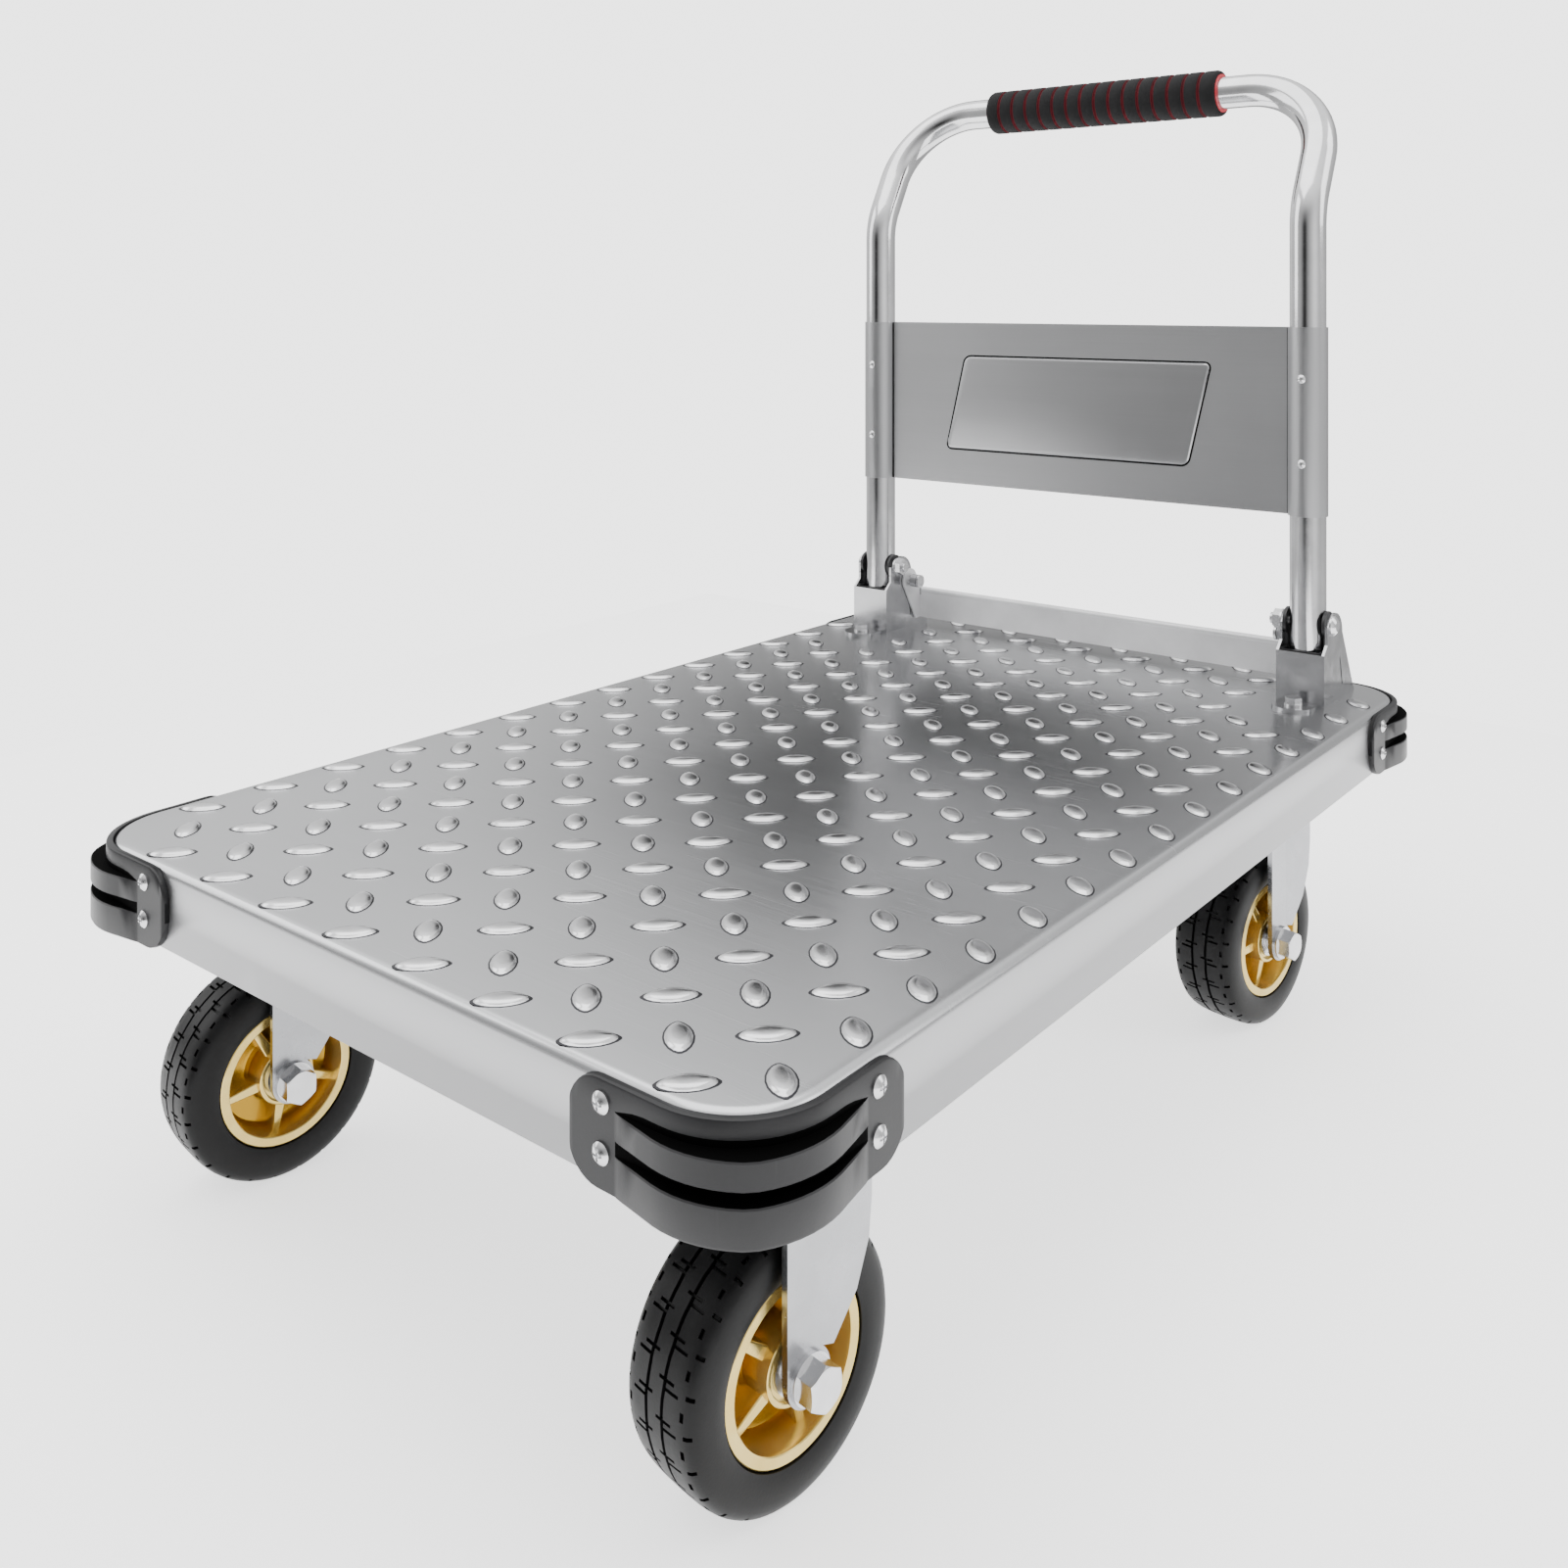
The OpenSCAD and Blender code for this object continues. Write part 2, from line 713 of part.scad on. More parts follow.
module leg() {
  y0 = -trail - leg_half;
  crease = y0 + 23;
  rear = y0 + 57;
  top = crown_z1 - 0.6;
  difference() {
    translate([leg_in, 0, 0]) {
      rotate([90, 0, 90]) linear_extrude(leg_t) union() {
        polygon([[y0, wheel_r], [y0, top], [crease + 2, top], [crease + 2, wheel_r + 10],
          [-trail + leg_half / 2, wheel_r]]);
        translate([-trail, wheel_r]) circle(r = leg_half);
      }
      translate([0.5, crease, 0]) rotate([0, 0, -8]) rotate([90, 0, 90]) linear_extrude(leg_t - 0.5) {
        polygon([[-3, wheel_r + 13], [9, wheel_r + 10], [rear - crease - 10, wheel_r + 32],
          [rear - crease - 2, wheel_r + 56], [rear - crease, wheel_r + 78],
          [rear - crease, top - 0.3], [-3, top - 0.3]]);
      }
    }
    translate([0, -trail, wheel_r]) xcyl(axle_r + bolt_c, 0, 60);
  }
}

module fork(i) {
  w = leg_in + leg_t;
  y0 = -trail - leg_half;
  color("gainsboro") place_caster(i) difference() {
    union() {
      for (m = [0, 1]) mirror([m, 0, 0]) leg();
      translate([0, 0, crown_z0]) cylinder(r = crown_r, h = crown_z1 - crown_z0);
      block(-w, w, y0, 0, crown_z0, crown_z1);
      block(-w - 3.5, w + 3.5, y0 + 50, y0 + 57, crown_z0, crown_z1);
      translate([0, 0, crown_z1 - 1]) cylinder(r = 33.5, h = ball_z - 1.2 - crown_z1 + 1);
    }
    translate([0, 0, ball_z]) rotate_extrude() translate([ball_ring, 0]) circle(r = ball_r + run_c);
    translate([0, 0, crown_z1]) cylinder(r = 18, h = 10);
    translate([0, 0, crown_z0 - 1]) cylinder(r = axle_r + run_c, h = 20);
  }
}

module axle(i) {
  out = leg_in + leg_t;
  color("silver") place_caster(i) translate([0, -trail, wheel_r]) {
    xcyl(axle_r, -out - 15, out + 3);
    xcyl(13, out + 0.05, out + 2.5);
    translate([out + 2.4, 0, 0]) rotate([0, 90, 0]) intersection() {
      hex(21, 10.5);
      translate([0, 0, -11]) sphere(r = 24);
    }
  }
}

module nut(i) {
  out = leg_in + leg_t;
  color("silver") place_caster(i) translate([0, -trail, wheel_r]) {
    difference() {
      union() {
        xcyl(12, -out - 2.3, -out - 0.05);
        translate([-out - 2.2, 0, 0]) rotate([0, -90, 0]) hex(19, 10);
      }
      xcyl(axle_r + 0.02, -out - 30, 0);
    }
  }
}

module spacers(i) {
  color("silver") place_caster(i) translate([0, -trail, wheel_r]) for (m = [0, 1]) {
    mirror([m, 0, 0]) difference() {
      xcyl(9, hub_w / 2 + 0.1, leg_in - 0.1);
      xcyl(axle_r + 0.02, 0, leg_in + 1);
    }
  }
}

module rim(i) {
  spokes = 5;
  color("gold") place_caster(i) translate([0, -trail, wheel_r]) {
    difference() {
      union() {
        xcyl(19, -hub_w / 2, hub_w / 2);
        difference() {
          xcyl(rim_r, -tyre_w / 2 + 3, tyre_w / 2 - 3);
          xcyl(rim_r - 4, -tyre_w, tyre_w);
        }
        for (m = [0, 1]) mirror([m, 0, 0]) difference() {
          xcyl(lip_r, tyre_w / 2 - 5, tyre_w / 2 - 2);
          xcyl(rim_r - 4, 0, tyre_w);
        }
        xcyl(rim_r - 2, -4, 4);
        for (k = [0 : spokes - 1]) rotate([k * 360 / spokes, 0, 0]) {
          block(-19, 19, -3, 3, 15, rim_r - 2);
        }
      }
      xcyl(8, -tyre_w, tyre_w);
      for (m = [0, 1]) mirror([m, 0, 0]) {
        xcyl(bearing_r + 0.02, hub_w / 2 - bearing_w, hub_w);
        difference() {
          xcyl(17.2, hub_w / 2 - 2.5, hub_w);
          xcyl(15.8, 0, hub_w);
        }
      }
    }
  }
}

module tyre(i) {
  h = tyre_w / 2;
  color("black") place_caster(i) translate([0, -trail, wheel_r]) rotate([0, 90, 0]) rotate_extrude() {
    difference() {
      union() {
        polygon([[rim_r + 0.05, -h + 5.1], [rim_r + 0.05, h - 5.1], [lip_r + 0.1, h - 5.1],
          [lip_r + 0.1, h - 1.2], [wheel_r - 16, h], [wheel_r - 8.5, h - 0.6],
          [wheel_r - 3.2, h - 5.2], [wheel_r - 0.8, h - 11], [wheel_r, h - 17],
          [wheel_r, -h + 17], [wheel_r - 0.8, -h + 11], [wheel_r - 3.2, -h + 5.2],
          [wheel_r - 8.5, -h + 0.6], [wheel_r - 16, -h], [lip_r + 0.1, -h + 1.2],
          [lip_r + 0.1, -h + 5.1]]);
      }
      for (x = [-8, 8]) translate([wheel_r - 3, x - 1.2]) square([5, 2.4]);
    }
  }
}

module bearings(i) {
  color("silver") place_caster(i) translate([0, -trail, wheel_r]) for (m = [0, 1]) {
    mirror([m, 0, 0]) difference() {
      xcyl(bearing_r, hub_w / 2 - bearing_w, hub_w / 2);
      xcyl(axle_r + run_c, 0, hub_w);
      difference() {
        xcyl(12, hub_w / 2 - 0.6, hub_w);
        xcyl(8.5, 0, hub_w + 1);
      }
    }
  }
}

// ---------- draw ----------
deck_pan();
rail(-1);  // rail_left
rail(1);  // rail_right
cross(-deck_l / 2 + 45);  // cross_front
cross(deck_l / 2 - 45);  // cross_rear
bumper(0);  // bumper_fl
bumper(1);  // bumper_fr
bumper(2);  // bumper_rl
bumper(3);  // bumper_rr
bumper_screws();
bracket(-1);  // bracket_left
bracket(1);  // bracket_right
bracket_bolts();
liner(-1);  // liner_left
liner(1);  // liner_right
pivot_bolts();
pivot_nuts();
pedal_pins();
pedal_springs();
pedal();
handle_tube();
panel();
panel_rivets();
grip_foam();
grip_liner();
caster_plate(0);  // plate_fl
caster_plate(1);  // plate_fr
caster_plate(2);  // plate_rl
caster_plate(3);  // plate_rr
plate_bolts();
kingpins();
swivel_balls();
fork(0);  // fork_fl
fork(1);  // fork_fr
fork(2);  // fork_rl
fork(3);  // fork_rr
axle(0);  // axle_fl
axle(1);  // axle_fr
axle(2);  // axle_rl
axle(3);  // axle_rr
nut(0);  // nut_fl
nut(1);  // nut_fr
nut(2);  // nut_rl
nut(3);  // nut_rr
spacers(0);  // spacers_fl
spacers(1);  // spacers_fr
spacers(2);  // spacers_rl
spacers(3);  // spacers_rr
rim(0);  // rim_fl
rim(1);  // rim_fr
rim(2);  // rim_rl
rim(3);  // rim_rr
tyre(0);  // tyre_fl
tyre(1);  // tyre_fr
tyre(2);  // tyre_rl
tyre(3);  // tyre_rr
bearings(0);  // bearings_fl
bearings(1);  // bearings_fr
bearings(2);  // bearings_rl
bearings(3);  // bearings_rr
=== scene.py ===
"""Looks of a flatbed platform truck: treaded steel deck, folding tube handle, corner bumpers and casters."""

import json
import math

import bmesh
import bpy
from mathutils import Matrix, Vector


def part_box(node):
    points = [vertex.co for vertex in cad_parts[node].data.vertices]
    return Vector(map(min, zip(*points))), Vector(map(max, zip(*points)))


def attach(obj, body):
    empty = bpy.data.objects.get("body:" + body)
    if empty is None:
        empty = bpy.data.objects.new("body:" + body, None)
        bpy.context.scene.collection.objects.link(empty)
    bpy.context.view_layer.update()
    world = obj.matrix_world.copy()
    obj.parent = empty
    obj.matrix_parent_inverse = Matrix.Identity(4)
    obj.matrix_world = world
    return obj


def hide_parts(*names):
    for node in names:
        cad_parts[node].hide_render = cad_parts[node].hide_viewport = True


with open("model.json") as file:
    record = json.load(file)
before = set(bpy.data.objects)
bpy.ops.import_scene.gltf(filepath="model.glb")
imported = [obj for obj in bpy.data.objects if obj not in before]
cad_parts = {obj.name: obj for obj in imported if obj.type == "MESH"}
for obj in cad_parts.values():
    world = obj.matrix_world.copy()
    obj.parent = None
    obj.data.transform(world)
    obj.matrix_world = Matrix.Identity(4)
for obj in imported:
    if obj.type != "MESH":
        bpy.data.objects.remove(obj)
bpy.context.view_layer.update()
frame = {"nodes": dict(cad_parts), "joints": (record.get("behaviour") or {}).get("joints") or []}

MM = 0.001
CORNERS = ("fl", "fr", "rl", "rr")


# ---------- finishes ----------
class Value:
    """A socket of a finish, with arithmetic that adds Math nodes."""

    def __init__(self, finish, socket):
        self.finish = finish
        self.socket = socket

    def math(self, operation, *terms):
        return self.finish.node("Math", {"operation": operation}, dict(enumerate(terms)))

    def __add__(self, other):
        return self.math("ADD", self, other)

    def __radd__(self, other):
        return self.math("ADD", other, self)

    def __sub__(self, other):
        return self.math("SUBTRACT", self, other)

    def __rsub__(self, other):
        return self.math("SUBTRACT", other, self)

    def __mul__(self, other):
        return self.math("MULTIPLY", self, other)

    def __rmul__(self, other):
        return self.math("MULTIPLY", other, self)

    def __truediv__(self, other):
        return self.math("DIVIDE", self, other)

    def __pow__(self, other):
        return self.math("POWER", self, other)

    def top(self, other):
        return self.math("MAXIMUM", self, other)

    def step(self, low, high):
        """0 below low, 1 above high, smooth between."""
        return self.finish.node(
            "MapRange",
            {"interpolation_type": "SMOOTHSTEP"},
            {"Value": self, "From Min": low, "From Max": high},
        )


class Finish:
    """A material, or the world, being written node by node."""

    def __init__(self, owner):
        owner.use_nodes = True
        self.owner = owner
        self.tree = owner.node_tree
        self.tree.nodes.clear()

    def node(self, kind, settings=None, inputs=None, output=0):
        made = self.tree.nodes.new("ShaderNode" + kind)
        for key, value in (settings or {}).items():
            setattr(made, key, value)
        for key, value in (inputs or {}).items():
            if isinstance(value, Value):
                self.tree.links.new(value.socket, made.inputs[key])
            else:
                made.inputs[key].default_value = value
        return Value(self, made.outputs[output]) if len(made.outputs) else None

    def place(self, scale=(1, 1, 1), turn=(0, 0, 0), shift=(0, 0, 0)):
        """Object coordinates, shifted, turned and scaled."""
        here = self.node("TexCoord", output="Object")
        inputs = {"Vector": here, "Location": shift, "Rotation": turn, "Scale": scale}
        return self.node("Mapping", None, inputs)

    def axes(self, vector):
        return [self.node("SeparateXYZ", None, {0: vector}, output=i) for i in range(3)]

    def noise(self, vector, scale, detail=3, rough=0.5):
        return self.node(
            "TexNoise", None, {"Vector": vector, "Scale": scale, "Detail": detail, "Roughness": rough}
        )

    def mix(self, factor, first, second):
        first = first if isinstance(first, Value) else (*first, 1)
        second = second if isinstance(second, Value) else (*second, 1)
        return self.node("Mix", {"data_type": "RGBA"}, {0: factor, 6: first, 7: second}, output=2)

    def bump(self, height, distance, strength=1, under=None):
        inputs = {"Height": height, "Distance": distance, "Strength": strength}
        if under:
            inputs["Normal"] = under
        return self.node("Bump", None, inputs)

    def close(self, **sockets):
        """The shader and the output; the words are the shader's sockets with _ for a space."""
        inputs = {}
        for key, value in sockets.items():
            value = (*value, 1) if isinstance(value, tuple) else value
            inputs[key.replace("_", " ")] = value
        shader = self.node("BsdfPrincipled", None, inputs)
        self.node("OutputMaterial", None, {"Surface": shader})
        return self.owner


def finish(name):
    return Finish(bpy.data.materials.new(name))


def scuffs(f, amount):
    """Fine crossed scratches as a 0 to 1 mask."""
    mask = None
    for turn in (0.35, 1.2, -0.7):
        lines = f.noise(f.place((14, 900, 14), (0, 0, turn)), 1, 2)
        patches = f.noise(f.place(shift=(turn, 0, 0)), 9, 2)
        part = lines.step(0.66, 0.72) * patches.step(0.5, 0.68)
        mask = part if mask is None else mask.top(part)
    return mask * amount


def brushed_sheet(name, tone, rough, along, grain=1.0):
    """Sheet steel with a fine straight grain; along is the stretch of the grain."""
    f = finish(name)
    grain_fine = f.noise(f.place(along), 1, 4, 0.6)
    cloud = f.noise(f.place(), 3.2, 4, 0.55)
    marks = scuffs(f, 0.5)
    low = tuple(c * 0.9 for c in tone)
    high = tuple(min(1, c * 1.07) for c in tone)
    colour = f.mix(grain_fine * 0.5 + cloud * 0.5, low, high)
    colour = f.mix(marks, colour, tuple(min(1, c * 1.15) for c in tone))
    roughness = rough + (cloud - 0.5) * 0.12 + (grain_fine - 0.5) * 0.1 + marks * 0.08
    normal = f.bump(grain_fine, 0.00004 * grain, 0.6)
    return f.close(Base_Color=colour, Metallic=1.0, Roughness=roughness, Normal=normal)


def bright_metal(name, tone, rough, spots=60):
    """Polished or plated metal with faint clouding and small pits."""
    f = finish(name)
    cloud = f.noise(f.place(), spots, 4, 0.6)
    pits = f.noise(f.place(), spots * 14, 2, 0.5)
    colour = f.mix(cloud.step(0.3, 0.75), tuple(c * 0.86 for c in tone), tone)
    roughness = rough + (cloud - 0.5) * 0.14 + pits.step(0.6, 0.75) * 0.05
    normal = f.bump(pits, 0.00003, 0.5)
    return f.close(Base_Color=colour, Metallic=1.0, Roughness=roughness, Normal=normal)


def moulded(name, tone, rough, grain=900, worn=1.35, shine=0.5):
    """Black or coloured plastic with a fine moulded grain and pale rubbed patches."""
    f = finish(name)
    skin = f.noise(f.place(), grain, 3, 0.6)
    cloud = f.noise(f.place(), 24, 4, 0.6)
    marks = scuffs(f, 0.6)
    colour = f.mix(cloud.step(0.35, 0.75), tone, tuple(c * worn for c in tone))
    colour = f.mix(marks, colour, tuple(c * 1.9 + 0.01 * shine for c in tone))
    roughness = rough + (cloud - 0.5) * 0.16 + marks * 0.1
    normal = f.bump(skin, 0.00006, 0.6)
    return f.close(Base_Color=colour, Roughness=roughness, Normal=normal, Specular_IOR_Level=shine)


def tyre_rubber():
    f = finish("tyre_rubber")
    skin = f.noise(f.place(), 700, 3, 0.6)
    dust = f.noise(f.place(), 38, 5, 0.65)
    colour = f.mix(dust.step(0.45, 0.8), (0.002, 0.002, 0.0022), (0.006, 0.006, 0.0064))
    roughness = 0.42 + (dust - 0.5) * 0.2
    normal = f.bump(skin, 0.00009, 0.6)
    return f.close(Base_Color=colour, Roughness=roughness, Normal=normal, Specular_IOR_Level=0.2)


def gold_rim():
    """Gold moulded rim, painted deeper and browner down in its pockets as painted shade; the depth is a point
    attribute.
    """
    f = finish("gold_rim")
    depth = f.node("Attribute", {"attribute_name": "pocket_depth"}, output="Fac")
    cloud = f.noise(f.place(), 45, 4, 0.6)
    fine = f.noise(f.place(), 800, 2, 0.5)
    face = f.mix(cloud.step(0.3, 0.8), (0.66, 0.49, 0.15), (0.76, 0.59, 0.22))
    # Browner, darker colour deep in the pockets: painted shade.
    colour = f.mix(depth.step(0.05, 0.95), face, (0.44, 0.25, 0.02))
    roughness = 0.2 + (cloud - 0.5) * 0.14
    normal = f.bump(fine, 0.00004, 0.5)
    return f.close(Base_Color=colour, Metallic=0.8, Roughness=roughness, Normal=normal)


def foam_rubber(name, low, high):
    f = finish(name)
    cells = f.node("TexVoronoi", None, {"Vector": f.place(), "Scale": 1500.0})
    cloud = f.noise(f.place(), 60, 4, 0.6)
    colour = f.mix(cloud.step(0.3, 0.8), low, high)
    normal = f.bump(cells, 0.00015, 0.7)
    roughness = 0.78 + (cloud - 0.5) * 0.1
    return f.close(Base_Color=colour, Roughness=roughness, Normal=normal, Specular_IOR_Level=0.25)


def painted(name, tone, rough):
    f = finish(name)
    peel = f.noise(f.place(), 420, 2, 0.5)
    cloud = f.noise(f.place(), 12, 5, 0.6)
    marks = scuffs(f, 0.4)
    colour = f.mix(cloud.step(0.3, 0.8), tuple(c * 0.85 for c in tone), tuple(min(1, c * 1.08) for c in tone))
    colour = f.mix(marks, colour, tuple(min(1, c * 1.5 + 0.02) for c in tone))
    roughness = rough + (cloud - 0.5) * 0.18
    return f.close(Base_Color=colour, Metallic=0.35, Roughness=roughness, Normal=f.bump(peel, 0.00006, 0.5))


DECK = brushed_sheet("brushed_deck", (0.52, 0.525, 0.535), 0.24, (4, 900, 900))
# The skirt copy of the deck steel has a darker tone, which is painted shade on the upright skirt faces; its
# grain and roughness are its own.
SKIRT_SHADED = brushed_sheet("brushed_skirt_shaded", (0.40, 0.402, 0.41), 0.36, (6, 6, 900))
PANEL = brushed_sheet("brushed_panel", (0.46, 0.462, 0.47), 0.33, (5, 900, 1200), 1.2)
TREAD = bright_metal("tread_crowns", (0.72, 0.72, 0.73), 0.2, 40)
TUBE = bright_metal("polished_tube", (0.74, 0.74, 0.75), 0.13, 25)
ZINC = bright_metal("bright_zinc", (0.74, 0.74, 0.75), 0.22, 90)
FORK = bright_metal("pressed_zinc", (0.42, 0.425, 0.44), 0.25, 30)
BRACKET = bright_metal("bracket_plating", (0.50, 0.50, 0.51), 0.2, 70)
DULL = bright_metal("dull_steel", (0.38, 0.38, 0.39), 0.38, 90)
# Near-black metal for the ring round each tread's foot: painted shade.
TREAD_FOOT_SHADE = bright_metal("tread_foot_shade", (0.05, 0.05, 0.055), 0.4, 40)
FRAME = painted("frame_paint", (0.14, 0.14, 0.145), 0.45)
PEDAL = painted("pedal_paint", (0.80, 0.80, 0.81), 0.3)
BUMPER = moulded("bumper_plastic", (0.013, 0.013, 0.014), 0.38, shine=0.28)
# Near-black for the slots and rail tops of the bumpers: painted shade.
SLOT_SHADE = moulded("bumper_slot_shade", (0.001, 0.001, 0.001), 0.8, worn=1.0, shine=0.03)
# Near-black line material for the pad's foot and the sleeve gaps: painted shade.
SHADE_LINE = moulded("panel_shade_lines", (0.004, 0.004, 0.004), 0.7, worn=1.0, shine=0.1)
LINER = moulded("liner_plastic", (0.012, 0.012, 0.013), 0.4)
RED = moulded("liner_red", (0.52, 0.03, 0.045), 0.42)
TYRE = tyre_rubber()
RIM = gold_rim()
FOAM = foam_rubber("grip_foam_black", (0.006, 0.006, 0.0065), (0.012, 0.012, 0.0125))
FOAM_RED = foam_rubber("grip_foam_red", (0.07, 0.006, 0.010), (0.13, 0.010, 0.016))

CAD_FINISH = {
    "rail_left": FRAME, "rail_right": FRAME, "cross_front": FRAME, "cross_rear": FRAME,
    "bumper_screws": ZINC, "bracket_left": BRACKET, "bracket_right": BRACKET, "bracket_bolts": ZINC,
    "liner_left": LINER, "liner_right": LINER, "pivot_bolts": ZINC, "pivot_nuts": ZINC,
    "pedal_pins": ZINC, "pedal_springs": DULL, "pedal": PEDAL, "handle_tube": TUBE, "panel": PANEL,
    "panel_rivets": ZINC, "grip_foam": FOAM, "grip_liner": RED, "plate_bolts": ZINC,
    "kingpins": DULL, "swivel_balls": ZINC, "deck_pan": DECK,
}
for corner in CORNERS:
    CAD_FINISH["bumper_" + corner] = BUMPER
    CAD_FINISH["plate_" + corner] = FORK
    CAD_FINISH["fork_" + corner] = FORK
    CAD_FINISH["rim_" + corner] = RIM
    CAD_FINISH["tyre_" + corner] = TYRE
    for part in ("axle_", "nut_", "spacers_", "bearings_"):
        CAD_FINISH[part + corner] = ZINC
for node, material in CAD_FINISH.items():
    slots = frame["nodes"][node].material_slots
    for s in slots:
        s.material = material


# ---------- making pieces ----------
def piece(name, bm, body, materials, nodes=(), angle=35):
    """The finished piece: merged, facing outwards, smooth but for its sharp edges, riding on its body."""
    bmesh.ops.remove_doubles(bm, verts=bm.verts[:], dist=1e-6)
    bmesh.ops.recalc_face_normals(bm, faces=bm.faces[:])
    for face in bm.faces:
        face.smooth = True
    mesh = bpy.data.meshes.new(name)
    bm.to_mesh(mesh)
    bm.free()
    mesh.set_sharp_from_angle(angle=math.radians(angle))
    for material in materials:
        mesh.materials.append(material)
    made = bpy.data.objects.new(name, mesh)
    bpy.context.scene.collection.objects.link(made)
    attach(made, body)
    if nodes:
        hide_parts(*nodes)
    return made


def add_copy(bm, source, matrix):
    """Adds a moved copy of another bmesh."""
    mesh = bpy.data.meshes.new("part")
    source.to_mesh(mesh)
    mesh.transform(matrix)
    bm.from_mesh(mesh)
    bpy.data.meshes.remove(mesh)


def box(bm, low, high):
    """A block between two corners; its vertices are returned."""
    made = bmesh.ops.create_cube(bm, size=1)["verts"]
    low, high = Vector(low), Vector(high)
    bmesh.ops.scale(bm, vec=high - low, verts=made)
    bmesh.ops.translate(bm, vec=(low + high) / 2, verts=made)
    return made


def round_edges(bm, edges, offset, segments=3):
    return bmesh.ops.bevel(
        bm, geom=edges, offset=offset, segments=segments, profile=0.5, affect="EDGES", material=-1,
        clamp_overlap=True,
    )


def turned(bm, points, axis, centre, steps, angle=2 * math.pi):
    """Spins an open line of points about an axis."""
    verts = [bm.verts.new(p) for p in points]
    edges = [bm.edges.new(pair) for pair in zip(verts, verts[1:])]
    return bmesh.ops.spin(
        bm, geom=verts + edges, cent=centre, axis=axis, angle=angle, steps=steps,
        use_merge=abs(angle) > 6.28, use_duplicate=False,
    )


# ---------- deck ----------
pan_low, pan_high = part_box("deck_pan")
TREAD_H = 2.4 * MM
DECK_TOP = pan_high.z - TREAD_H
HALF_W, HALF_L = pan_high.x, pan_high.y
CORNER_R, EDGE_R, SHEET = 52 * MM, 6 * MM, 2 * MM


def deck_sheet():
    bm = bmesh.new()
    box(bm, (-HALF_W, -HALF_L, pan_low.z), (HALF_W, HALF_L, DECK_TOP))
    upright = [e for e in bm.edges if abs(e.verts[0].co.z - e.verts[1].co.z) > 0.01]
    round_edges(bm, upright, CORNER_R, 14)
    rim = [e for e in bm.edges if all(v.co.z > DECK_TOP - 1e-5 for v in e.verts) and len(e.link_faces) == 2
           and any(abs(fc.normal.z) < 0.5 for fc in e.link_faces)]
    round_edges(bm, rim, EDGE_R, 5)
    under = [fc for fc in bm.faces if fc.normal.z < -0.9]
    bmesh.ops.delete(bm, geom=under, context="FACES")
    for face in bm.faces:
        # Faces below the rim take the darker skirt copy: painted shade on the upright faces.
        face.material_index = 1 if face.calc_center_median().z < DECK_TOP - EDGE_R * 0.6 else 0
    made = piece("deck_sheet", bm, "deck", [DECK, SKIRT_SHADED], ["deck_pan"], 40)
    wall = made.modifiers.new("sheet", "SOLIDIFY")
    wall.thickness = SHEET
    wall.offset = -1
    return made


def deck_treads():
    """Rows of pointed oval domes, each ringed at its foot by a dark band of painted shade, each row turned
    the other way and set half a pitch over.
    """
    one = bmesh.new()
    half_l, half_w = 16.6 * MM, 8.3 * MM
    ring = bmesh.ops.create_circle(one, radius=1, segments=18)["verts"]
    for v in ring:
        v.co = Vector((v.co.x * half_l, math.copysign(abs(v.co.y) ** 1.25, v.co.y) * half_w, 0.04 * MM))
    edges = one.edges[:]
    for inward, up in ((0.88, 0.2), (0.92, 1.3), (0.82, 2.05), (0.55, 2.4)):
        grown = bmesh.ops.extrude_edge_only(one, edges=edges)["geom"]
        edges = [g for g in grown if isinstance(g, bmesh.types.BMEdge)]
        for v in [g for g in grown if isinstance(g, bmesh.types.BMVert)]:
            v.co = Vector((v.co.x * inward, v.co.y * inward, up * MM))
    bmesh.ops.contextual_create(one, geom=edges)
    # The flat outer ring takes the dark foot material: painted shade round each dome's foot.
    for face in one.faces:
        outer = max(v.co.z for v in face.verts) < 0.5 * MM
        face.material_index = 1 if outer else 0
    bm = bmesh.new()
    feet = [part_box("bracket_" + side) for side in ("left", "right")]
    rows, columns, pitch_x, pitch_y = 32, 9, 32.9 * MM, 29.6 * MM
    for row in range(rows):
        odd = row % 2
        for column in range(columns):
            x = pitch_x * (columns - 1.5 + odd - 2 * column)
            y = pitch_y * (row - (rows - 1) / 2)
            at_corner = (row, column) in ((0, columns - 1), (rows - 1, 0))
            by_foot = any(lo.x - 17 * MM < x < hi.x + 17 * MM and y > lo.y - 26 * MM for lo, hi in feet)
            if at_corner or by_foot:
                continue
            turn = Matrix.Rotation(math.radians(-45 if odd else 45), 4, "Z")
            add_copy(bm, one, Matrix.Translation((x, y, DECK_TOP)) @ turn)
    one.free()
    return piece("deck_treads", bm, "deck", [TREAD, TREAD_FOOT_SHADE], angle=60)


deck_sheet()
deck_treads()


# ---------- handle ----------
TUBE_R, PANEL_T, SLEEVE_R = 16 * MM, 1.6 * MM, 17.65 * MM


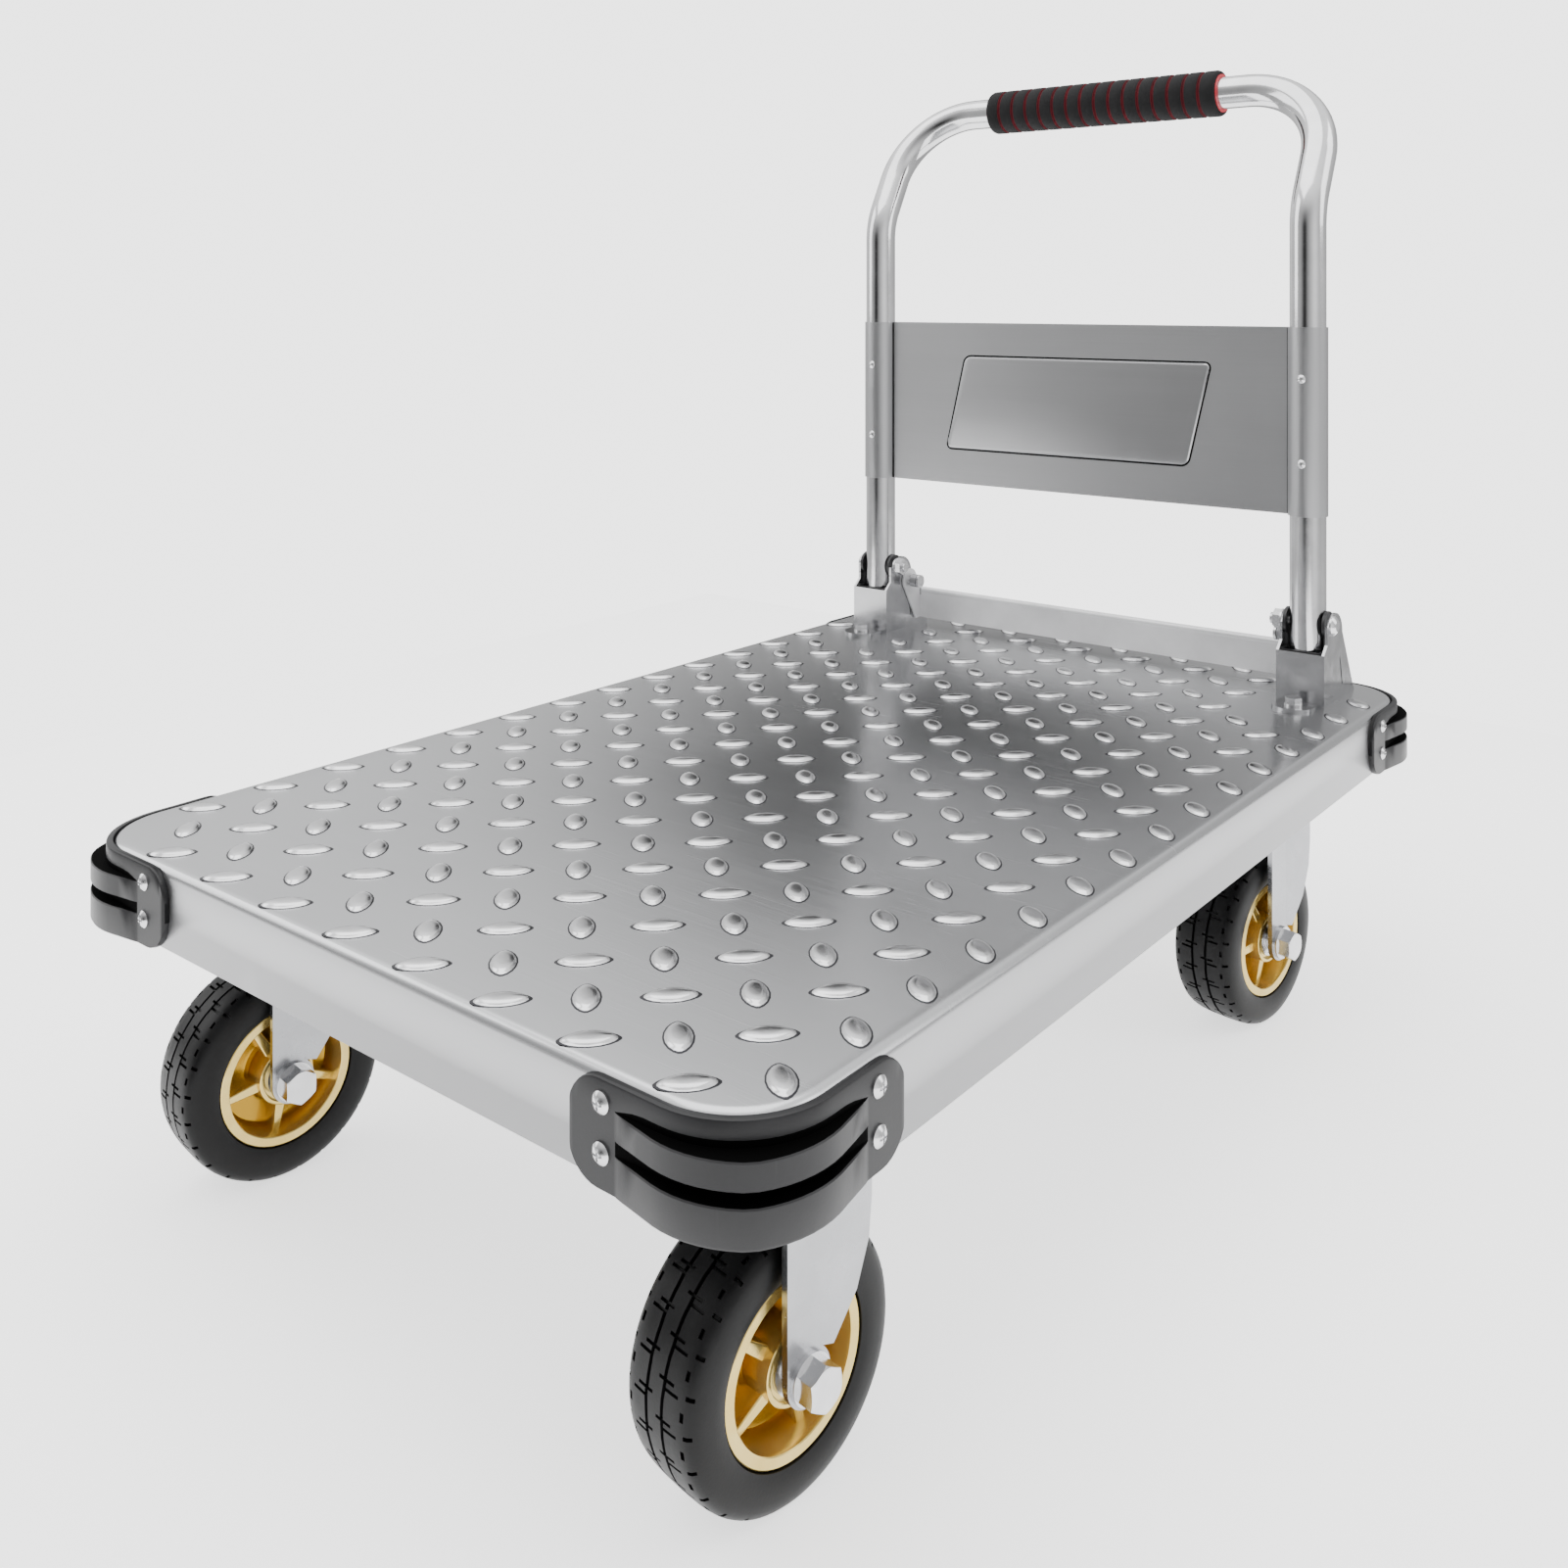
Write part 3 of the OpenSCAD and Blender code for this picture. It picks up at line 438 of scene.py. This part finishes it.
def handle_tube():
    """A ring carried up the post, round the lean and the corner to the middle, then mirrored."""
    low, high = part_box("handle_tube")
    grip_low, grip_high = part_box("grip_liner")
    tube_r = TUBE_R
    post_x = high.x - tube_r
    bar = Vector((0, (grip_low.y + grip_high.y) / 2, (grip_low.z + grip_high.z) / 2))
    post_y = low.y + tube_r
    lean = math.radians(28.5)
    elbow_r, bend_r = 70 * MM, 82 * MM
    elbow_z = bar.z - (bar.y - post_y) / math.tan(lean)
    cut = elbow_r * math.tan(lean / 2)
    lean_len = (bar.z - elbow_z) / math.cos(lean)
    bm = bmesh.new()
    ring = bmesh.ops.create_circle(bm, radius=tube_r, segments=40)["verts"]
    bmesh.ops.translate(bm, vec=(post_x, post_y, low.z), verts=ring)
    front = list({e for v in ring for e in v.link_edges})
    first = front

    def straight(edges, step):
        grown = bmesh.ops.extrude_edge_only(bm, edges=edges)["geom"]
        moved = [g for g in grown if isinstance(g, bmesh.types.BMVert)]
        bmesh.ops.translate(bm, vec=step, verts=moved)
        return [g for g in grown if isinstance(g, bmesh.types.BMEdge)]

    def bend(edges, centre, axis, angle, steps):
        verts = list({v for e in edges for v in e.verts})
        grown = bmesh.ops.spin(bm, geom=verts + edges, cent=centre, axis=axis, angle=angle, steps=steps)
        return [g for g in grown["geom_last"] if isinstance(g, bmesh.types.BMEdge)]

    front = straight(front, (0, 0, elbow_z - cut - low.z))
    front = bend(front, (post_x, post_y + elbow_r, elbow_z - cut), (-1, 0, 0), lean, 10)
    up = Vector((0, math.sin(lean), math.cos(lean)))
    front = straight(front, up * (lean_len - cut - bend_r))
    corner = Vector((post_x - bend_r, post_y, elbow_z)) + up * (lean_len - bend_r)
    front = bend(front, corner, Vector((1, 0, 0)).cross(up), math.pi / 2, 20)
    front = straight(front, (-(post_x - bend_r), 0, 0))
    for e in front:
        for v in e.verts:
            v.co.x = 0
    lip = bmesh.ops.extrude_edge_only(bm, edges=first)["geom"]
    inner = [g for g in lip if isinstance(g, bmesh.types.BMVert)]
    for v in inner:
        away = (v.co - Vector((post_x, post_y, v.co.z))).normalized()
        v.co -= away * 2 * MM
    throat = bmesh.ops.extrude_edge_only(bm, edges=[g for g in lip if isinstance(g, bmesh.types.BMEdge)
                                                    and all(v in inner for v in g.verts)])["geom"]
    deep = [g for g in throat if isinstance(g, bmesh.types.BMVert)]
    bmesh.ops.translate(bm, vec=(0, 0, 60 * MM), verts=deep)
    half = bm.copy()
    add_copy(bm, half, Matrix.Scale(-1, 4, (1, 0, 0)))
    half.free()
    return piece("handle_bow", bm, "handle", [TUBE], ["handle_tube"], 50)


def grip():
    low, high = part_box("grip_foam")
    centre = (low + high) / 2
    outer, length, count = (high.z - low.z) / 2, high.x - low.x, 15
    bore = 19.06 * MM
    half = length / 2
    pitch = length / (count + 1)
    soft, softer = 3 * MM, 0.9 * MM
    side = ((2.5, 0), (1.7, 0.5), (1.25, 1.5), (0.9, 2.3))
    groove = [(-dx, down) for dx, down in side] + list(reversed(side))
    line = [(-half, bore), (-half, outer - soft), (-half + softer, outer - softer), (-half + soft, outer)]
    for k in range(1, count + 1):
        x = -half + k * pitch
        for dx, down in groove:
            line.append((x + dx * MM, outer - down * MM))
    line += [(half - soft, outer), (half - softer, outer - softer), (half, outer - soft), (half, bore)]
    bm = bmesh.new()
    turned(bm, [(x, centre.y, centre.z + r) for x, r in line + line[:1]], (1, 0, 0), centre, 48)
    bmesh.ops.remove_doubles(bm, verts=bm.verts[:], dist=1e-6)
    for face in bm.faces:
        spot = face.calc_center_median() - centre
        deep = math.hypot(spot.y, spot.z) < outer - 1.0 * MM
        face.material_index = 1 if deep and abs(spot.x) < half - 4 * MM else 0
    made = piece("grip_sleeve", bm, "handle", [FOAM, FOAM_RED], ["grip_foam"], 50)
    return made


handle_tube()
grip()


# ---------- casters ----------
def joint(name):
    return next(j for j in frame["joints"] if j["name"] == name)


def tyre_local():
    """A block-tread tyre about the X axis at the origin."""
    side = [(27.0, 56.0), (26.7, 61.0), (25.9, 65.0), (24.6, 67.8), (22.7, 69.7), (20.6, 70.6),
            (18.4, 71.1), (16.2, 71.45), (12.6, 71.75), (7.6, 71.95), (6.5, 72.0), (4.2, 72.0), (1.6, 72.0)]
    bead = [(21.9, 44.1), (22.1, 47.6), (25.6, 48.2), (26.6, 51.5)]
    right = bead + side
    loop = right + [(-x, r) for x, r in reversed(right)]
    pitches, parts = 24, 6
    steps = pitches * parts
    shares = (0.0, 0.085, 0.2, 0.285, 0.52, 0.76)
    bm = bmesh.new()
    turned(bm, [(x * MM, 0, r * MM) for x, r in loop + loop[:1]], (1, 0, 0), (0, 0, 0), steps)
    bmesh.ops.remove_doubles(bm, verts=bm.verts[:], dist=1e-6)
    bmesh.ops.recalc_face_normals(bm, faces=bm.faces[:])
    step = 2 * math.pi / steps
    cells = []

    def where(x, y, z):
        angle = math.atan2(y, z) % (2 * math.pi)
        return angle / step, abs(x) / MM, 0 if x > 0 else 3

    for face in bm.faces:
        c = face.calc_center_median()
        turn, x, phase = where(c.x, c.y, c.z)
        if math.hypot(c.y, c.z) < 70.3 * MM and x < 20.6:
            continue
        part = (int(turn) + phase) % parts
        round_groove = 4.2 < x < 6.5
        long_cut = part == 0 and 4.2 < x < 16.2
        short_cut = part == 2 and 1.6 < x < 12.6
        pit = part == 4 and 18.4 < x < 20.6
        edge_cut = part == 1 and 20.6 < x < 24.6 and math.hypot(c.y, c.z) > 67.8 * MM
        if round_groove or long_cut or short_cut or pit or edge_cut:
            cells.append(face)
    for v in bm.verts:
        turn, x, phase = where(*v.co)
        index = round(turn)
        part = (index + phase) % parts
        wanted = index - part + shares[part] * parts
        move = (turn - wanted) * step
        v.co.rotate(Matrix.Rotation(move, 3, "X"))
        if 4.1 < x < 6.6 and math.hypot(v.co.y, v.co.z) > 70 * MM:
            v.co.x += math.copysign((0.9 if part < 3 else -0.6) * MM, v.co.x)
    bmesh.ops.recalc_face_normals(bm, faces=bm.faces[:])
    bmesh.ops.inset_region(bm, faces=cells, thickness=0.25 * MM, depth=-2.6 * MM, use_even_offset=True)
    return bm


def rim_local():
    """A ribbed rim about the X axis; the pocket_depth attribute grows from the lip down to the web and masks
    the painted pocket shade in the rim finish.
    """
    half = [(17.0, 8.0), (17.0, 14.1), (22.6, 14.1), (22.6, 16.2), (23.0, 16.7), (24.7, 16.9), (25.0, 17.3),
            (25.0, 18.9), (24.5, 19.5), (7.0, 20.6), (4.8, 22.4), (4.2, 24.5), (4.2, 35.5), (5.0, 37.8),
            (7.5, 39.2), (22.8, 40.4), (24.6, 40.9), (25.0, 41.5), (25.0, 46.6), (24.6, 47.2), (22.3, 47.4),
            (22.0, 44.0)]
    loop = half + [(-x, r) for x, r in reversed(half)]
    bm = bmesh.new()
    turned(bm, [(x * MM, 0, r * MM) for x, r in loop + loop[:1]], (1, 0, 0), (0, 0, 0), 80)
    for k in range(5):
        rib = bmesh.new()
        block = box(rib, (-20 * MM, -2.6 * MM, 17 * MM), (20 * MM, 2.6 * MM, 41 * MM))
        for v in block:
            if v.co.z > 0.03:
                v.co.x *= 0.82
            else:
                v.co.y *= 1.5
        round_edges(rib, [e for e in rib.edges if abs(e.verts[0].co.z - e.verts[1].co.z) > 0.01], 1.2 * MM, 3)
        add_copy(bm, rib, Matrix.Rotation(math.radians(72 * k + 20), 4, "X"))
        rib.free()
    depth = bm.verts.layers.float.new("pocket_depth")
    for v in bm.verts:
        r = math.hypot(v.co.y, v.co.z)
        inside = 20.2 * MM < r < 40.2 * MM
        v[depth] = max(0.0, min(1.0, (21 * MM - abs(v.co.x)) / (17 * MM))) if inside else 0.0
    return bm


tyre_form = tyre_local()
rim_form = rim_local()
for corner in CORNERS:
    wheel = joint("wheel_" + corner)
    axis = Vector(wheel["axis"])
    stand = Vector((1, 0, 0)).rotation_difference(axis).to_matrix().to_4x4()
    spin_by = {"fl": 10, "fr": 34, "rl": 55, "rr": 80}[corner]
    place = Matrix.Translation(wheel["pos_m"]) @ stand @ Matrix.Rotation(math.radians(spin_by), 4, "X")
    bm = bmesh.new()
    add_copy(bm, tyre_form, place)
    piece("tyre_tread_" + corner, bm, "wheel_" + corner, [TYRE], ["tyre_" + corner], 28)
    bm = bmesh.new()
    add_copy(bm, rim_form, place)
    piece("rim_gold_" + corner, bm, "wheel_" + corner, [RIM], ["rim_" + corner], 32)
tyre_form.free()
rim_form.free()


# ---------- panel ----------
def panel_pad():
    """The pressed parallelogram, with a dark line of painted shade round its foot."""
    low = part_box("panel")[0]
    face_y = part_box("handle_tube")[0].y + TUBE_R - PANEL_T
    skew, wide, tall = 12 * MM, 138.0 * MM, 102.0 * MM
    base = low.z + 36.0 * MM
    bm = bmesh.new()
    top = base + tall
    corners = [(-wide - skew, base), (wide - skew, base), (wide + skew, top), (-wide + skew, top)]
    verts = [bm.verts.new((x - 2 * MM, face_y - 0.04 * MM, z)) for x, z in corners]
    bm.faces.new(verts)
    bmesh.ops.bevel(
        bm, geom=verts, offset=8 * MM, segments=6, profile=0.5, affect="VERTICES", material=-1,
        clamp_overlap=True,
    )
    bm.normal_update()
    pad = bm.faces[:][0]
    if pad.normal.y > 0:
        pad.normal_flip()
    bmesh.ops.inset_region(bm, faces=[pad], thickness=1.7 * MM, depth=0, use_boundary=True)
    # The flat ring round the pad takes the near-black line material, painted shade at the pad's foot; the
    # sloped steps are panel steel.
    for other in bm.faces:
        other.material_index = 0 if other is pad else 1
    for thick, deep in ((0.5 * MM, 0.75 * MM), (0.7 * MM, 0.45 * MM), (0.9 * MM, 0.15 * MM)):
        before = set(bm.faces)
        bmesh.ops.inset_region(bm, faces=[pad], thickness=thick, depth=deep)
        for other in set(bm.faces) - before:
            other.material_index = 0
    return piece("panel_pad", bm, "handle", [PANEL, SHADE_LINE], angle=50)


def panel_shade_lines():
    """Dark strips of painted shade standing for the gaps where the flat sheet meets its rolled sleeves,
    before and behind.
    """
    low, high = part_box("panel")
    face_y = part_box("handle_tube")[0].y + TUBE_R
    inner = high.x - 2 * SLEEVE_R
    bm = bmesh.new()
    for side in (-1, 1):
        for y0, y1 in ((face_y - 2.0 * MM, face_y - 1.5 * MM), (face_y - 0.1 * MM, face_y + 0.3 * MM)):
            ends = sorted((side * (inner - 1.0 * MM), side * (inner + 0.5 * MM)))
            box(bm, (ends[0], y0, low.z + 0.6 * MM), (ends[1], y1, high.z - 0.6 * MM))
    round_edges(bm, bm.edges[:], 0.12 * MM, 2)
    return piece("panel_shade_lines", bm, "handle", [SHADE_LINE], angle=50)


panel_pad()
panel_shade_lines()


# ---------- corner bumpers ----------
def bumper(corner, sign_x, sign_y):
    """A wrap with round ends and two rails that grow out of it towards the corner, with the slot and top face
    above each painted black as shade.
    """
    node_low, node_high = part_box("bumper_" + corner)
    top, bottom = node_high.z, node_low.z
    centre = Vector((HALF_W - CORNER_R, HALF_L - CORNER_R, 0))
    arm, rail_arm, reach = 60 * MM, 28 * MM, 41 * MM
    plate = 4.5 * MM
    edge = [0, 0.6, 1.6, 3.5, 6, 9, 12, 16, 20, 26, 31, 32, 34, 38, 43, 50]
    along = [(-1, arm - e * MM) for e in edge]
    along += [(0, math.radians(6 * k)) for k in range(16)]
    along += [(1, arm - e * MM) for e in reversed(edge)]
    depths = [0, 0.5, 1.4, 12.5, 12.6, 12.9, 13.6, 25.8, 26.4, 26.6]
    depths += [33.0, 33.1, 33.5, 34.2, 51.0, 52.4, 53, 53, 0]
    bm = bmesh.new()
    bmesh.ops.create_grid(bm, x_segments=len(along) - 1, y_segments=len(depths) - 1, size=1)
    spots = {}
    for v in bm.verts:
        column = round((v.co.x + 1) / 2 * (len(along) - 1))
        row = round((v.co.y + 1) / 2 * (len(depths) - 1))
        kind, at = along[column]
        if kind:
            from_end, grown = arm - at, rail_arm - at
        else:
            from_end, grown = arm, rail_arm + reach * min(at, math.pi / 2 - at) / (math.pi / 4)
        grown = max(0.0, grown)
        opened = min(1.0, grown / (14 * MM))
        rail = plate + 11.5 * MM * (grown / (rail_arm + reach)) ** 0.8
        down = depths[row] * MM
        if row == 3:
            down -= 3.4 * MM * opened
        out = plate
        if row in (6, 7, 13, 14):
            out = rail
        elif row in (5, 8, 12, 15):
            out = rail - 0.7 * MM * opened
        elif row == 16:
            out = rail - 2.2 * MM
        out = {0: 3.0 * MM, 1: 4.1 * MM, 17: 0.1 * MM, 18: 0.1 * MM}.get(row, out)
        if from_end < 1.5 * MM and row < 17:
            out -= (1.4 if from_end < 0.3 * MM else 0.4) * MM
        height = top - down * (top - bottom) / (53 * MM)
        if from_end < 20 * MM:
            shrink = 20 * MM - math.sqrt((20 * MM) ** 2 - (20 * MM - from_end) ** 2)
            middle = (top + bottom) / 2
            height = middle + (height - middle) * (1 - shrink / ((top - bottom) / 2))
        r = CORNER_R + out
        if kind < 0:
            spot = (r, -at)
        elif kind > 0:
            spot = (-at, r)
        else:
            spot = (r * math.cos(at), r * math.sin(at))
        v.co = Vector(((centre.x + spot[0]) * sign_x, (centre.y + spot[1]) * sign_y, height))
        spots[v] = (row, grown)
    # Slot and rail-top faces take the black material: painted shade in the grooves above the rails.
    for face in bm.faces:
        rows = min(spots[v][0] for v in face.verts)
        inside = all(spots[v][1] > 0 for v in face.verts)
        face.material_index = 1 if inside and rows in (3, 4, 8, 9, 10, 11) else 0
    bmesh.ops.remove_doubles(bm, verts=bm.verts[:], dist=1e-6)
    ends = [e for e in bm.edges if e.is_boundary]
    bmesh.ops.holes_fill(bm, edges=ends, sides=0)
    node = "bumper_" + corner
    return piece("bumper_wrap_" + corner, bm, "deck", [BUMPER, SLOT_SHADE], [node], 40)


for corner in CORNERS:
    low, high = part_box("bumper_" + corner)
    bumper(corner, 1 if low.x + high.x > 0 else -1, 1 if low.y + high.y > 0 else -1)


# ---------- stage, light and camera ----------
def stage():
    bm = bmesh.new()
    bmesh.ops.create_grid(bm, x_segments=1, y_segments=1, size=1.35)
    mesh = bpy.data.meshes.new("floor")
    bm.to_mesh(mesh)
    bm.free()
    f = finish("floor_pale")
    mesh.materials.append(f.close(
        Base_Color=(0.9, 0.9, 0.9), Roughness=0.9, Specular_IOR_Level=0.1,
        Emission_Color=(1, 1, 1), Emission_Strength=1.5,
    ))
    floor = bpy.data.objects.new("floor", mesh)
    bpy.context.scene.collection.objects.link(floor)


def sky():
    """A soft studio: bright overhead, mid grey at the sides, with wide darker and brighter areas."""
    world = bpy.data.worlds.new("studio")
    bpy.context.scene.world = world
    f = Finish(world)
    away = f.node("TexCoord", output="Generated")
    x, y, z = f.axes(away)

    def lobe(azimuth, height, power):
        """Azimuth is to the right of the view, in degrees."""
        a = math.radians(38.8 - azimuth)
        h = math.radians(height)
        d = (-math.sin(a) * math.cos(h), math.cos(a) * math.cos(h), math.sin(h))
        return (x * d[0] + y * d[1] + z * d[2]).top(0) ** power

    level = 0.62 + z.step(0.3, 0.8) * 1.0
    level = level + lobe(-34, 22, 6) * 0.7 - lobe(3.5, 20, 60) * 1.1 - lobe(9, 24, 40) * 0.3
    level = level - lobe(180 + 40, 0, 14) * 0.6 + lobe(180 - 25, 5, 12) * 0.8 + lobe(95, 15, 8) * 0.3
    level = level.top(0.03)
    seen = f.node("LightPath", output="Is Camera Ray")
    level = level * (1 - seen) + seen * 3.25
    glow = f.node("Background", None, {"Color": (1, 1, 1, 1), "Strength": level})
    f.node("OutputWorld", None, {"Surface": glow})


def lamp(name, place, aim, size, power):
    light = bpy.data.lights.new(name, "AREA")
    light.shape = "RECTANGLE"
    light.size, light.size_y = size
    light.energy = power
    made = bpy.data.objects.new(name, light)
    made.location = place
    made.rotation_euler = (Vector(aim) - Vector(place)).to_track_quat("-Z", "Y").to_euler()
    bpy.context.scene.collection.objects.link(made)


def camera():
    lens = bpy.data.cameras.new("view")
    lens.lens = 34.17
    lens.sensor_width = 36
    lens.shift_y = -0.310
    lens.clip_end = 100
    made = bpy.data.objects.new("view", lens)
    made.location = (0.717, -0.972, 0.6167)
    made.rotation_euler = (math.radians(90), 0, math.radians(38.783))
    bpy.context.scene.collection.objects.link(made)
    bpy.context.scene.camera = made


stage()
sky()
lamp("overhead", (-0.3, -0.2, 2.6), (0, 0, 0.2), (2.4, 2.4), 38)
lamp("left", (-2.4, -1.2, 1.5), (0, 0, 0.25), (1.4, 2.0), 22)
lamp("right", (2.2, 1.2, 1.7), (0, 0.2, 0.4), (1.2, 2.0), 18)
camera()
